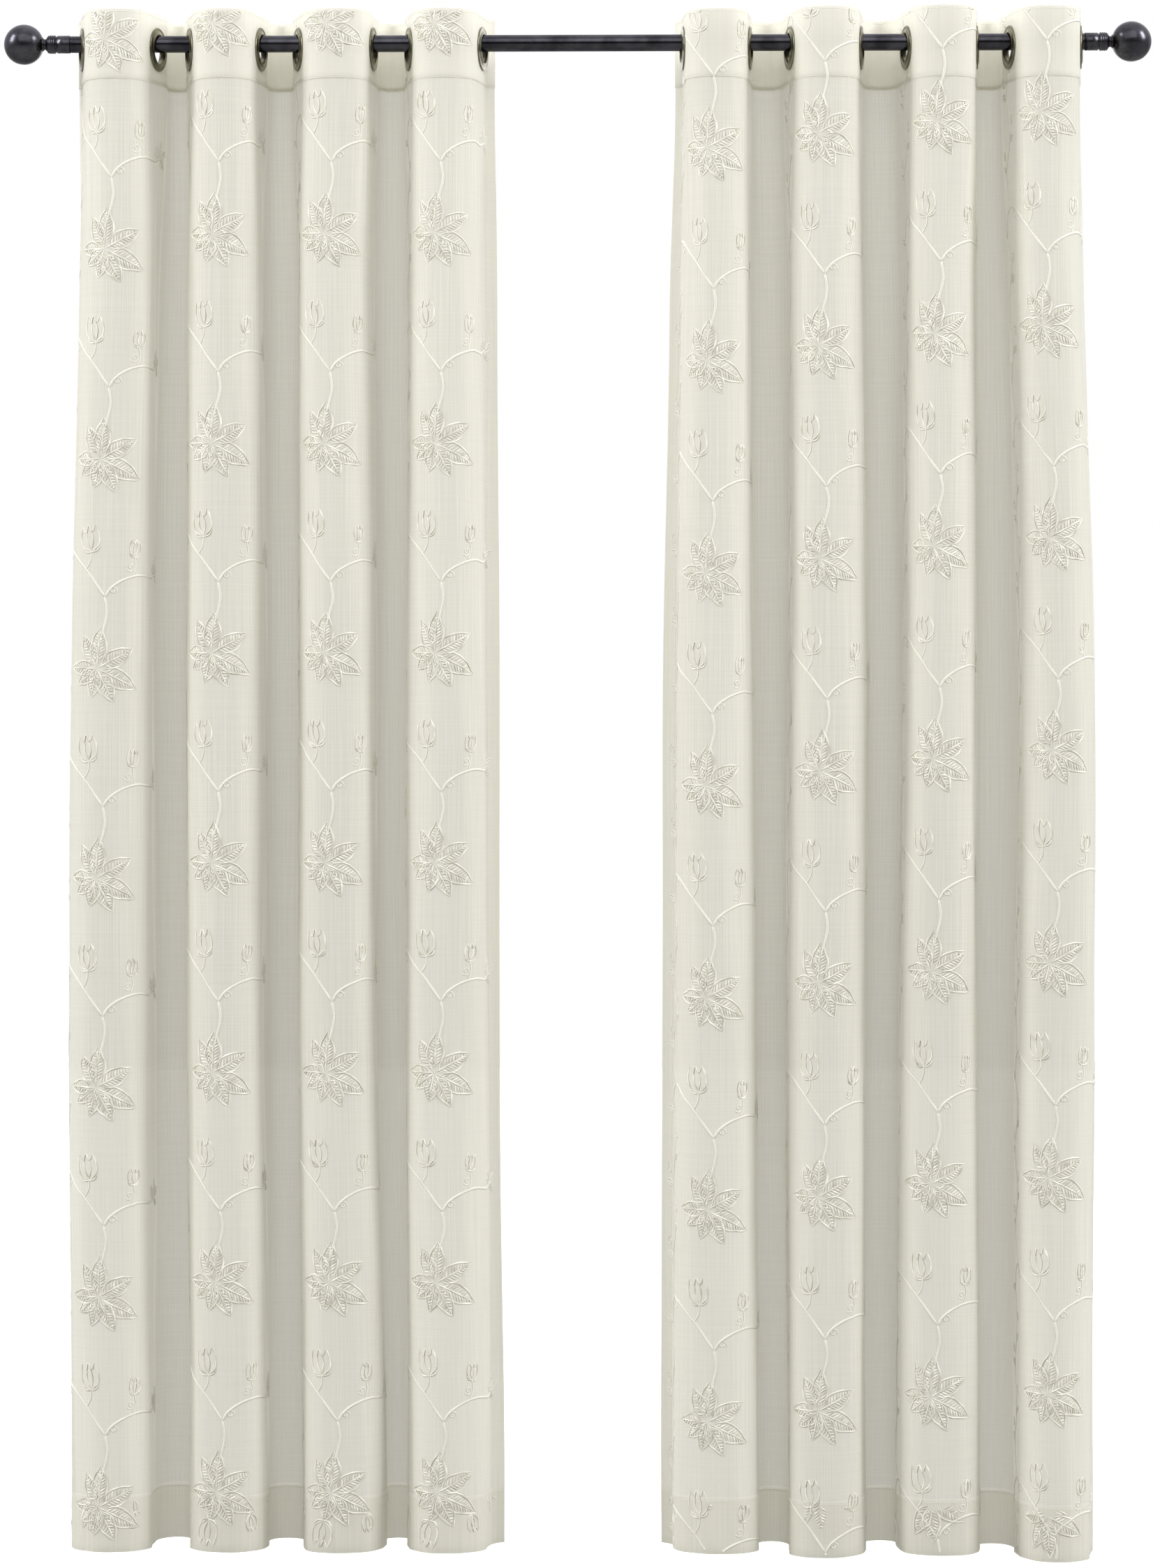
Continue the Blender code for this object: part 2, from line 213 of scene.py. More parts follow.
# The cloth. Between two eyelets there is always one pitch of cloth, so a narrow fold is deep.
# A row of a table is one eyelet, in mm and degrees: where the cloth crosses the rod's line at
# the rod, in the middle, low and at the hem, its splay, and how far the top and hem are uneven.
cloth = {
    "cutWidth": 1371.6 * mm,
    "sideMargin": 50 * mm,
    "eyelets": 8,
    "top": 40 * mm,
    "seam": -56 * mm,
    "hemTop": -2022 * mm,
    "bottom": -2098 * mm,
    "sideHem": 25.5 * mm,
    "tuck": 6 * mm,  # how far the panel goes up behind the heading
    "flatInCloth": 10 * mm,
    "splayInCloth": radians(4),
    "softened": -380 * mm,  # from here down the eyelets no longer hold the folds
    "riseFrom": 24 * mm,
    "dropFrom": -1200 * mm,
    "stepsPerFold": 36,
    "stepsPerMargin": 12,
    "rowStep": 13 * mm,
    "layerGap": 0.9 * mm,
    "newtonSteps": 14,
    "newtonReach": 0.35,
    "tableHeights": (-2000, -1400, -900, -100),
    "left": (
        (-689.6, -705.8, -709.2, -703.9, 12.0, 0.0, 0.0),
        (-586.3, -594.5, -594.5, -592.1, 16.0, 0.5, 0.0),
        (-539.6, -545.2, -542.3, -538.4, 14.0, 0.0, -1.0),
        (-442.2, -436.9, -438.4, -432.0, 10.5, -0.5, 0.0),
        (-387.7, -387.1, -386.2, -382.3, 16.5, 0.0, 1.0),
        (-285.4, -282.2, -280.2, -268.1, 6.5, 0.0, 0.0),
        (-232.8, -235.8, -237.7, -234.9, 12.0, 0.5, 0.5),
        (-132.5, -128.0, -127.0, -122.1, 11.0, -1.0, 0.0),
    ),
    "right": (
        (150.0, 140.0, 139.0, 136.7, 5.0, -3.0, 0.0),
        (240.2, 245.5, 249.4, 254.2, 5.5, -1.0, 1.0),
        (298.6, 297.7, 294.5, 296.3, 11.5, 0.5, 6.0),
        (395.2, 405.5, 401.7, 401.7, 6.5, 1.5, 3.0),
        (460.7, 457.3, 452.0, 447.0, 11.0, 2.5, 0.0),
        (556.2, 555.9, 556.9, 560.8, 4.0, 2.0, 3.0),
        (603.9, 619.5, 614.0, 613.4, 12.5, 1.0, 8.0),
        (700.3, 720.5, 719.9, 716.0, 4.5, 0.5, 10.0),
    ),
    "endTurns": {"left": (6, 48), "right": (48, 6)},
}
pitch = (cloth["cutWidth"] - 2 * cloth["sideMargin"]) / (cloth["eyelets"] - 1)
flatAtEyelet = pitch / 6


def ease(low, high, value):
    # 0 at low, 1 at high, t * t * (3 - 2 t) between them
    t = np.clip((value - low) / (high - low), 0, 1)
    return t * t * (3 - 2 * t)


def crossings(side, heights):
    # each column of the table against height, on a smooth curve through its four values
    table = np.array(cloth[side])
    knots = np.array(cloth["tableHeights"]) * mm
    values = table[:, 3::-1].T * mm
    slopes = np.gradient(values, knots, axis=0)
    slopes[0] = slopes[-1] = 0
    z = np.clip(heights, knots[0], knots[-1])
    k = np.clip(np.searchsorted(knots, z) - 1, 0, len(knots) - 2)
    span = (knots[k + 1] - knots[k])[:, None]
    t = (z - knots[k])[:, None] / span
    return ((2 * t**3 - 3 * t**2 + 1) * values[k] + (t**3 - 2 * t**2 + t) * span * slopes[k]
            + (3 * t**2 - 2 * t**3) * values[k + 1] + (t**3 - t**2) * span * slopes[k + 1])


def foldAngles(side, heights):
    # direction of the cloth along each fold, at every step and height:
    # start + (end - start) t + swell sin(2 pi t) + lean sin(pi t), t from 0 to 1 past the flats.
    # Newton's method finds the swell and lean that make one pitch of cloth span its crossings.
    splay = np.radians(np.array(cloth[side])[:, 4])
    soft = ease(cloth["seam"], cloth["softened"], heights)[:, None]
    splay = splay * (1 - soft) + cloth["splayInCloth"] * soft
    flat = (flatAtEyelet * (1 - soft) + cloth["flatInCloth"] * soft)[:, :, None]
    facing = np.where(np.arange(cloth["eyelets"]) % 2 == 0, -1, 1)
    atEyelet = facing * (pi / 2 - splay)
    start, end = atEyelet[:, :-1, None], atEyelet[:, 1:, None]
    x = crossings(side, heights)
    span = np.diff(x, axis=1)[:, :, None] / pitch
    way = (np.arange(cloth["stepsPerFold"]) + 0.5) / cloth["stepsPerFold"]
    t = np.clip((way * pitch - flat) / (pitch - 2 * flat), 0, 1)
    swellPart, leanPart = np.sin(2 * pi * t), np.sin(pi * t)
    swell = lean = np.zeros_like(span)
    for _ in range(cloth["newtonSteps"]):
        angle = start + (end - start) * t + swell * swellPart + lean * leanPart
        c, s = np.cos(angle), np.sin(angle)
        missX, missY = span - c.mean(2, keepdims=True), -s.mean(2, keepdims=True)
        a, b = (-(s * part).mean(2, keepdims=True) for part in (swellPart, leanPart))
        d, e = ((c * part).mean(2, keepdims=True) for part in (swellPart, leanPart))
        det = a * e - b * d
        swell = swell + np.clip((e * missX - b * missY) / det, -cloth["newtonReach"], cloth["newtonReach"])
        lean = lean + np.clip((a * missY - d * missX) / det, -cloth["newtonReach"], cloth["newtonReach"])
    return x, atEyelet, flat[:, :, 0], start + (end - start) * t + swell * swellPart + lean * leanPart


def clothGrid(side, heights):
    # points and room-facing normals over the cut width, one row for each height: the running sum
    # of (cos angle, sin angle) * step along each fold, and on past the end eyelets to both edges
    x, atEyelet, flat, angle = foldAngles(side, heights)
    rows, steps, wide = len(heights), cloth["stepsPerFold"], cloth["sideMargin"]
    step = pitch / steps
    foldX = x[:, :-1, None] + np.cumsum(np.cos(angle), 2) * step
    foldY = np.cumsum(np.sin(angle), 2) * step
    count = cloth["stepsPerMargin"]
    way = (np.arange(count) + 0.5) / count
    bend = np.clip((way * wide - flat) / (wide - flat), 0, 1)
    ends = []
    for last, turn, outward in ((0, cloth["endTurns"][side][0], -1), (-1, cloth["endTurns"][side][1], 1)):
        run = atEyelet[:, last, None] - outward * radians(turn) * bend
        runX = x[:, last, None] + np.cumsum(np.cos(run), 1) * outward * wide / count
        runY = np.cumsum(np.sin(run), 1) * outward * wide / count
        ends.append((runX, runY))
    gridX = np.concatenate((ends[0][0][:, ::-1], x[:, :1], foldX.reshape(rows, -1), ends[1][0]), 1)
    gridY = np.concatenate((ends[0][1][:, ::-1], 0 * x[:, :1], foldY.reshape(rows, -1), ends[1][1]), 1)
    margin = wide * (np.arange(count) + 1) / count
    folds = wide + step * np.arange((cloth["eyelets"] - 1) * steps + 1)
    along = np.concatenate((wide - margin[::-1], folds, cloth["cutWidth"] - wide + margin))
    acrossX, acrossY = np.gradient(gridX, axis=1), np.gradient(gridY, axis=1)
    length = np.hypot(acrossX, acrossY)
    normals = np.stack((acrossY / length, -acrossX / length, np.zeros_like(length)), -1)
    gridZ = unevenHeights(side, heights, along)
    points = np.stack((gridX, gridY, gridZ), -1)
    points += normals * ripples(heights, along)[:, :, None]
    return points, normals, along


def unevenHeights(side, heights, along):
    # the heading rises and the hem drops by what the table gives at each eyelet
    table = np.array(cloth[side])
    at = cloth["sideMargin"] + pitch * np.arange(cloth["eyelets"])
    rise = np.interp(along, at, table[:, 5]) * mm
    drop = np.interp(along, at, table[:, 6]) * mm
    high = ease(cloth["riseFrom"], cloth["top"], heights)[:, None]
    low = ease(cloth["dropFrom"], cloth["bottom"], heights)[:, None]
    return heights[:, None] + rise * high - drop * low


ripple = {
    # amplitude, width of a wave, height of a wave, shift
    "long": ((1.1 * mm, 131 * mm, 1700 * mm, 0.3), (0.8 * mm, 77 * mm, -940 * mm, 1.9),
             (0.5 * mm, 43 * mm, 610 * mm, 4.0)),
    # puckers along the seam under the heading and the hem's stitches, and how far they reach
    "seam": (0.45 * mm, 17 * mm, 900 * mm, 0.0, 60 * mm),
    "hem": (0.40 * mm, 13 * mm, 700 * mm, 2.0, 30 * mm),
    "start": 10 * mm,  # below the seam, where the long waves begin and where they are full
    "full": 200 * mm,
    "uneven": (3, 23),  # the puckers' spacing varies: by how many radians, and radians a metre
}


def ripples(heights, along):
    # sum of amplitude * sin(2 pi (u / width + z / height) + shift), none of it in the heading
    u, z = along[None, :], heights[:, None]
    free = ease(cloth["seam"] - ripple["start"], cloth["seam"] - ripple["full"], z)
    total = np.zeros((len(heights), len(along)))
    for size, width, height, shift in ripple["long"]:
        total = total + free * size * np.sin(2 * pi * (u / width + z / height) + shift)
    swing, often = ripple["uneven"]
    for name, at in (("seam", cloth["seam"]), ("hem", cloth["hemTop"])):
        size, width, height, shift, fade = ripple[name]
        near = np.exp(-((z - at) / fade) ** 2) * (z < cloth["seam"])
        wave = 2 * pi * (u / width + z / height) + shift + swing * np.sin(u * often)
        total = total + near * size * np.sin(wave)
    return total


voile = {
    "back": "eae8dd",
    "slub": 1.9 * mm,
    "slubLength": 210 * mm,
    "weft": 0.35,
    # each layer: name, lighter and darker threads, how much of it is thread (least and most), and
    # how much light the threads pass; the backing is cloth turned to the back, which shows through
    "sheer": ("woven polyester voile", "e0ded2", "cfcdc1", (0.90, 0.96), 0.30),
    # the doubled and turned layers are drawn lighter than the sheer one: painted light, for light that
    # bounces between two layers of cloth
    "doubled": ("doubled polyester voile", "eae8dd", "e1dfd4", (0.97, 0.995), 0.28),
    "turned": ("turned polyester voile", "edebe0", "e1dfd3", (0.93, 0.97), 0.40),
    "backing": ("backing polyester voile", "eae8dd", "dddbcf", (0.50, 0.62), 0.72),
}


def voileMaterial(kind):
    # Plain-woven polyester voile: ivory, matt with a soft sheen, thin enough to pass light.
    # Its threads lie 0.35 mm apart, too fine to show, so slubs 1.9 mm wide stand for them.
    name, light, dark, cover, through = voile[kind]
    material, tree = newMaterial(name)
    coords = addNode(tree, "ShaderNodeTexCoord")
    waves = []
    thin, long = 1 / voile["slub"], 1 / voile["slubLength"]
    for scale in ((thin, long, 1), (long, thin, 1)):
        mapping = addNode(tree, "ShaderNodeMapping", {"Scale": scale}, Vector=coords.outputs["UV"])
        waves.append(addNode(tree, "ShaderNodeTexNoise", {"Scale": 1.0, "Detail": 2.0, "Roughness": 0.6},
                             Vector=mapping.outputs[0]))
    weft = addNode(tree, "ShaderNodeMath", {"operation": "MULTIPLY", 1: voile["weft"]},
                   i0=waves[1].outputs[0])
    both = addNode(tree, "ShaderNodeMath", {"operation": "ADD"}, i0=waves[0].outputs[0], i1=weft.outputs[0])
    threads = addNode(tree, "ShaderNodeMapRange", {"From Min": 0.42, "From Max": 0.93}, Value=both.outputs[0])
    colour = addNode(tree, "ShaderNodeMix", {"data_type": "RGBA", 6: hexColour(dark), 7: hexColour(light)},
                     i0=threads.outputs[0])
    density = addNode(tree, "ShaderNodeMapRange", {"To Min": cover[0], "To Max": cover[1]},
                      Value=threads.outputs[0])
    bump = addNode(tree, "ShaderNodeBump", {"Strength": 0.2, "Distance": 0.15 * mm},
                   Height=threads.outputs[0])
    front = addNode(tree, "ShaderNodeBsdfPrincipled", {
        "Roughness": 0.8, "Sheen Weight": 1.0, "Sheen Roughness": 0.2,
        "Sheen Tint": hexColour("fffdf6"), "Specular IOR Level": 0.25,
    }, Base_Color=colour.outputs[2], Normal=bump.outputs[0])
    glow = addNode(tree, "ShaderNodeBsdfTranslucent", {"Color": hexColour(voile["back"])},
                   Normal=bump.outputs[0])
    body = addNode(tree, "ShaderNodeMixShader", {0: through}, i1=front.outputs[0], i2=glow.outputs[0])
    holes = addNode(tree, "ShaderNodeBsdfTransparent")
    mix = addNode(tree, "ShaderNodeMixShader", i0=density.outputs[0], i1=holes.outputs[0], i2=body.outputs[0])
    addNode(tree, "ShaderNodeOutputMaterial", Surface=mix.outputs[0])
    return material


def panelRows():
    # heights and layer offsets: the turned-up hem behind, the fold, then up the front
    gap = cloth["layerGap"]
    hem = np.linspace(cloth["hemTop"], cloth["bottom"] + gap / 2, 8)
    turn = np.linspace(0, pi, 5)[1:-1]
    tall = cloth["seam"] + cloth["tuck"] - cloth["bottom"]
    front = np.linspace(cloth["bottom"] + gap / 2, cloth["seam"] + cloth["tuck"],
                        round(tall / cloth["rowStep"]))
    heights = np.concatenate((hem, cloth["bottom"] + gap / 2 * (1 - np.sin(turn)), front))
    offsets = np.concatenate((np.full(len(hem), -gap), -gap * (1 + np.cos(turn)) / 2, np.zeros(len(front))))
    return heights, offsets, len(front)


def makePanel(side, sheer, turned, backing):
    # the hung cloth, row by row, and a second strip behind each edge for its side hem
    heights, offsets, frontRows = panelRows()
    points, normals, along = clothGrid(side, heights)
    hung = points + normals * offsets[:, None, None]
    drop = np.concatenate(([0], np.cumsum(np.hypot(np.diff(heights), np.diff(offsets)))))
    uv = np.stack(np.broadcast_arrays(along[None, :], drop[:, None]), -1)
    quads = gridQuads(len(heights), len(along))
    edge = np.abs(along - cloth["cutWidth"] / 2) > cloth["cutWidth"] / 2 - cloth["sideHem"]
    # 0 is sheer, 1 the front of a hem and 2 the cloth turned to its back
    finish = np.zeros(quads.shape[:2], dtype=int)
    finish[heights[:-1] < cloth["hemTop"] - 2 * mm] = 1
    finish[:, edge[:-1] & edge[1:]] = 1
    finish[:len(heights) - frontRows] = 2
    quads = quads.reshape(-1, 4)
    hem = (points - normals * cloth["layerGap"])[-frontRows:]
    first = hung.shape[0] * hung.shape[1]
    extra = gridQuads(frontRows, len(along))[:, edge[:-1] & edge[1:]].reshape(-1, 4)
    allPoints = np.concatenate((hung.reshape(-1, 3), hem.reshape(-1, 3)))
    allUv = np.concatenate((uv.reshape(-1, 2), uv[-frontRows:].reshape(-1, 2)))
    finish = np.concatenate((finish.ravel(), np.full(len(extra), 2)))
    piece = makeMesh("voilePanel" + side.title(), allPoints, np.concatenate((quads, first + extra)), allUv,
                     sheer, turned, backing, finish=finish)
    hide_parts("panel_" + side)
    return piece, heights[-frontRows:]


eyelet = {
    "hole": 20 * mm,
    "clothHole": 24.5 * mm,
    "radius": 30 * mm,
    "seatGap": 0.5 * mm,
    "sides": 64,
}
rod = {"radius": 11.75 * mm, "halfLength": 707.2 * mm, "sides": 72}
eyeletHeight = rod["radius"] + eyelet["seatGap"] - eyelet["hole"]


def makeHeading(side, doubled, backing):
    # the doubled strip: up the front, over a small turn at the top and down the back
    gap, rows = cloth["layerGap"], 27
    front = np.linspace(cloth["seam"], cloth["top"] - gap, rows)
    turn = np.linspace(0, pi, 7)[1:-1]
    heights = np.concatenate((front, cloth["top"] - gap + gap * np.sin(turn), front[::-1]))
    offsets = np.concatenate((np.full(rows, gap), gap * np.cos(turn), np.full(rows, -gap)))
    points, normals, along = clothGrid(side, heights)
    points = points + normals * offsets[:, None, None]
    drop = np.concatenate(([0], np.cumsum(np.hypot(np.diff(heights), np.diff(offsets)))))
    uv = np.stack(np.broadcast_arrays(along[None, :], drop[:, None]), -1)
    # cells under the eyelets' flanges are left out, so the rod runs through
    middleU = (along[1:] + along[:-1]) / 2
    middleZ = (heights[1:] + heights[:-1]) / 2
    centres = cloth["sideMargin"] + pitch * np.arange(cloth["eyelets"])
    near = np.abs(middleU[:, None] - centres).min(1)
    keep = np.hypot(near[None, :], middleZ[:, None] - eyeletHeight) > eyelet["clothHole"]
    quads = gridQuads(len(heights), len(along))[keep]
    finish = np.broadcast_to((offsets[:-1] < 0)[:, None], keep.shape)[keep]
    piece = makeMesh("voileHeading" + side.title(), points.reshape(-1, 3), quads, uv.reshape(-1, 2),
                     doubled, backing, finish=finish)
    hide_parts("heading_" + side)
    return piece, front


def makeLathe(name, profile, sides, turn, place, material, closed=False):
    # (along, radius) pairs turned about the X axis: (a, r sin w, r cos w), then turned and placed
    profile = np.array(profile)
    w = np.arange(sides) * 2 * pi / sides
    a = np.broadcast_to(profile[:, :1], (len(profile), sides))
    y, z = profile[:, 1:] * np.sin(w), profile[:, 1:] * np.cos(w)
    points = np.stack((a * cos(turn) - y * sin(turn), a * sin(turn) + y * cos(turn), z), -1)
    points = points + np.array(place)
    quads = gridQuads(len(profile), sides, wrap=True).reshape(-1, 4)
    if closed:
        last = gridQuads(2, sides, wrap=True).reshape(-1, 4)
        last = np.where(last < sides, last + (len(profile) - 1) * sides, last - sides)
        quads = np.concatenate((quads, last))
    length = np.concatenate(([0], np.cumsum(np.hypot(*np.diff(profile, axis=0).T))))
    uv = np.stack(np.broadcast_arrays(w[None, :] / (2 * pi), length[:, None]), -1).reshape(-1, 2)
    return makeMesh(name, points.reshape(-1, 3), quads, uv, material)


metal = {
    # name, lighter and darker patches, roughness, marks a metre along x, y and z
    "drawn": ("drawn pewter plated steel", "4b4a50", "333236", 0.20, (60, 4000, 4000)),
    "turned": ("turned pewter plated steel", "504f55", "38373c", 0.25, (1500, 400, 400)),
    "bronze": ("bronze plated steel", "8f8b76", "625f4e", 0.28, (1500, 1500, 1500)),
}


def metalMaterial(kind):
    # Plated steel: dark, with a soft gloss, faint patches and fine draw lines or turning marks
    name, light, dark, roughness, brushed = metal[kind]
    material, tree = newMaterial(name)
    coords = addNode(tree, "ShaderNodeTexCoord")
    mapping = addNode(tree, "ShaderNodeMapping", {"Scale": brushed}, Vector=coords.outputs["Object"])
    lines = addNode(tree, "ShaderNodeTexNoise", {"Scale": 1.0, "Detail": 3.0}, Vector=mapping.outputs[0])
    patches = addNode(tree, "ShaderNodeTexNoise", {"Scale": 45.0, "Detail": 4.0},
                      Vector=coords.outputs["Object"])
    tone = addNode(tree, "ShaderNodeMapRange", {"From Min": 0.35, "From Max": 0.65}, Value=patches.outputs[0])
    colour = addNode(tree, "ShaderNodeMix", {"data_type": "RGBA", 6: hexColour(dark), 7: hexColour(light)},
                     i0=tone.outputs[0])
    rough = addNode(tree, "ShaderNodeMapRange", {"To Min": roughness - 0.06, "To Max": roughness + 0.08},
                    Value=lines.outputs[0])
    bump = addNode(tree, "ShaderNodeBump", {"Strength": 0.12, "Distance": 0.05 * mm}, Height=lines.outputs[0])
    shader = addNode(tree, "ShaderNodeBsdfPrincipled", {"Metallic": 1.0}, Base_Color=colour.outputs[2],
                     Roughness=rough.outputs[0], Normal=bump.outputs[0])
    addNode(tree, "ShaderNodeOutputMaterial", Surface=shader.outputs[0])
    return material


def eyeletProfile():
    # one flange: rolled outer edge, dished face and rolled lip; then mirrored for the other
    half = [(-1.35, 30.0), (-1.9, 30.3), (-2.8, 30.1), (-3.3, 29.4), (-3.2, 28.6), (-2.9, 27.6), (-3.0, 25.5),
            (-3.5, 23.6), (-4.2, 22.2), (-4.7, 21.2), (-4.5, 20.4), (-3.2, 20.05), (-1.0, 20.0)]
    back = [(-a, r) for a, r in half[::-1]]
    inner = [(1.35, 23.0), (-1.35, 23.0)]
    return np.array(half + back + inner) * mm


def makeEyelets(side, material):
    table = np.array(cloth[side])
    for k, row in enumerate(table):
        turn = radians(row[4]) * (1 if k % 2 == 0 else -1)
        name = "eyelet{}{}".format(side.title(), k + 1)
        piece = makeLathe(name, eyeletProfile()[::-1], eyelet["sides"], turn,
                          (row[0] * mm, 0, eyeletHeight), material, closed=True)
        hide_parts("eyelet_{}_{}".format(side, k + 1))
        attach(piece, "root")


def makeRod(material):
    r, half = rod["radius"], rod["halfLength"]
    profile = [(-half, 1e-5), (-half, r - 0.6 * mm), (-half + 0.6 * mm, r)]
    profile += [(a, r) for a in np.linspace(-half + 2 * mm, half - 2 * mm, 9)]
    profile += [(half - 0.6 * mm, r), (half, r - 0.6 * mm), (half, 1e-5)]
    piece = makeLathe("curtainRod", profile[::-1], rod["sides"], 0, (0, 0, 0), material)
    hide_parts("rod")
    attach(piece, "root")


# Collar and ball at each end of the rod, in mm from the rod's middle
finial = {
    "start": 707.5,
    "collar": 33.0,
    "collarRadius": 12.4,
    "neckRadius": 7.5,
    "ballRadius": 28.0,
    "ballCentre": 772.5,
    "sides": 72,
}


def makeFinials(material):
    # collar: plain band, groove, three raised rings, chamfer; neck: waist into a full ball
    f = finial
    end, r = f["start"] + f["collar"], f["collarRadius"]
    collar = [(f["start"], 1e-2), (f["start"], r - 0.6), (f["start"] + 0.6, r)]
    collar += [(end - 15.2, r), (end - 14.8, r - 1.2), (end - 12.9, r - 1.2), (end - 12.5, r + 0.2)]
    for ring in range(3):
        low = end - 12.2 + 2.9 * ring
        collar += [(low, r + 0.5), (low + 1.9, r + 0.5), (low + 2.2, r - 0.2), (low + 2.6, r - 0.2)]
    collar += [(end - 2.8, r + 0.3), (end - 1.2, r - 0.9), (end - 0.3, r - 2.4), (end, r - 3.0), (end, 1e-2)]
    waist = np.linspace(0, 1, 9)
    neckEnd = f["ballCentre"] - np.sqrt(f["ballRadius"] ** 2 - (f["neckRadius"] + 0.6) ** 2)
    start = end + 0.3
    neck = [(start, 1e-2)]
    neck += [(start + (neckEnd - start) * w, f["neckRadius"] + 1.6 * (2 * w - 0.9) ** 2) for w in waist]
    angle = np.linspace(pi - np.arcsin((f["neckRadius"] + 1.9) / f["ballRadius"]), 0.0004, 44)
    ball = [(f["ballCentre"] + f["ballRadius"] * cos(a), f["ballRadius"] * sin(a)) for a in angle]
    for side, sign in (("left", -1), ("right", 1)):
        for name, profile in (("collar", collar), ("finial", neck + ball)):
            line = np.array(profile) * mm * (sign, 1)
            piece = makeLathe(name + side.title(), line[::-sign], f["sides"], 0, (0, 0, 0), material)
            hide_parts("{}_{}".format(name, side))
            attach(piece, "root")


def embroideryGround(side, heights):
    # the hung cloth from hem to heading as one grid, which the threads are laid on
    points, normals, along = clothGrid(side, heights)
    lift = cloth["layerGap"] * (heights > cloth["seam"] - 0.5 * mm)
    return {"points": points + normals * lift[:, None, None], "normals": normals,
            "heights": heights, "along": along}


def onCloth(ground, u, z):
    # bilinear look-up of the hung cloth's point and normal at (u, z) of the flat cloth
    column = np.interp(u, ground["along"], np.arange(len(ground["along"])))
    row = np.interp(z, ground["heights"], np.arange(len(ground["heights"])))
    c = np.minimum(column.astype(int), len(ground["along"]) - 2)
    r = np.minimum(row.astype(int), len(ground["heights"]) - 2)
    fc, fr = (column - c)[..., None], (row - r)[..., None]
    found = []
    for grid in (ground["points"], ground["normals"]):
        low = grid[r, c] * (1 - fc) + grid[r, c + 1] * fc
        high = grid[r + 1, c] * (1 - fc) + grid[r + 1, c + 1] * fc
        found.append(low * (1 - fr) + high * fr)
    return found[0], found[1] / np.linalg.norm(found[1], axis=-1, keepdims=True)


def smoothLine(points, count):
    # Catmull-Rom curve through the points, evaluated at evenly spread parameters
    points = np.array(points, dtype=float)
    padded = np.concatenate((2 * points[:1] - points[1:2], points, 2 * points[-1:] - points[-2:-1]))
    t = np.linspace(0, len(points) - 1, count)
    k = np.minimum(t.astype(int), len(points) - 2)
    t = (t - k)[:, None]
    a, b, c, d = (padded[k + i] for i in range(4))
    return 0.5 * (2 * b + (c - a) * t + (2 * a - 5 * b + 4 * c - d) * t**2 + (3 * b - a - 3 * c + d) * t**3)


# Embroidery, in mm on the flat cloth from the middle of a large leaf: right and up
embroidery = {
    "lobes": ((4, 58), (52, 28), (59, -29), (24, -47), (-9, -41), (-31, -22), (-44, 2), (-22, 47)),
    "stem": (((1, 30), (8, 52), (13, 76), (10, 99)), ((10, 99), (-3, 117), (-17, 136), (-34, 152), (-54, 166),
             (-76, 172)), ((10, 99), (19, 112), (38, 124), (62, 130), (94, 128), (120, 135))),
    "thinStem": (((-19, 138), (-12, 150), (-11, 164)),
                 ((49, 129), (54, 142), (52, 156)),
                 ((-76, 172), (-92, 160), (-95, 136), (-84, 112), (-78, 88), (-88, 62), (-96, 36)),
                 ((-96, 36), (-92, 12), (-80, -12), (-80, -38), (-92, -60), (-94, -86), (-76, -118))),
    # a leaflet: root, tip, how wide it is
    "leaflets": ((112, 132, 98, 152, 9), (120, 136, 118, 160, 10), (120, 134, 141, 146, 9),
                 (116, 131, 134, 122, 8), (-94, 132, -112, 140, 8), (-84, 66, -66, 76, 8),
                 (-96, 30, -114, 36, 8), (-80, -30, -62, -24, 8), (-93, -72, -110, -64, 8)),
    # a bud: foot, how wide and tall, lean in degrees
    "buds": ((-11, 162, 29, 37, 8), (52, 155, 18, 24, -8)),
    # a curl: middle, size, turn in degrees
    "curls": ((46, 141, 7, 200), (-58, 158, 7, 20), (100, 140, 6, 120), (-72, 100, 8, 300),
              (-106, 52, 8, 100), (-70, 0, 8, 250), (-104, -50, 7, 80), (22, 108, 6, 330)),
    "repeat": {"left": 290.5, "right": 293.5},
    # height of the topmost whole leaf on each front fold, and how far its middle is left of the fold's
    "leafHeight": {"left": (-292.5, -271.4, -271.4, -271.4), "right": (-155, -135, -118, -107)},
    "leftOfFold": 14,
    "rows": range(-1, 9),  # 0 is the topmost whole leaf
    "clearOfEdge": 3 * mm,
    "clearOfEyelet": 2.5 * mm,  # and of the top edge
}


def leafLines():
    # a lobe: two edges base + t (tip - base) +- n w sin(pi t^0.75), a midrib, and slanting veins
    long, short = [], []
    t = np.linspace(0, 1, 8)[:, None]
    for tip in np.array(embroidery["lobes"], dtype=float):
        length = np.hypot(*tip)
        forward = tip / length
        side = np.array((-forward[1], forward[0]))
        width = 4.5 + 0.13 * length
        for sign in (-1, 1):
            edge = tip * (0.12 + 0.88 * t) + side * sign * width * np.sin(pi * t**0.75)
            long.append(edge + side * 0.5 * np.sin(9 * pi * t))
        long.append(tip * (0.04 + 0.9 * t))
        for way in np.linspace(0.2, 0.82, round(length / 6.4)):
            reach = 0.82 * width * sin(pi * (way + 0.06) ** 0.75)
            for sign in (-1, 1):
                start = tip * way
                short.append([start, start + forward * reach * 0.42 + side * sign * reach * 0.55,
                              start + forward * reach * 0.7 + side * sign * reach])
    return np.array(long), np.array(short)


def leafletLines():
    # two bowed edges and a midrib from root to tip
    t = np.linspace(0, 1, 8)[:, None]
    lines = []
    for x, z, tipX, tipZ, width in embroidery["leaflets"]:
        root, way = np.array((x, z)), np.array((tipX - x, tipZ - z))
        side = np.array((-way[1], way[0])) / np.hypot(*way)
        lines += [root + way * t + side * sign * width / 2 * np.sin(pi * t**0.8) for sign in (-1, 1)]
        lines.append(root + way * (0.1 + 0.75 * t) + side * 0.6 * np.sin(pi * t))
    return np.array(lines)


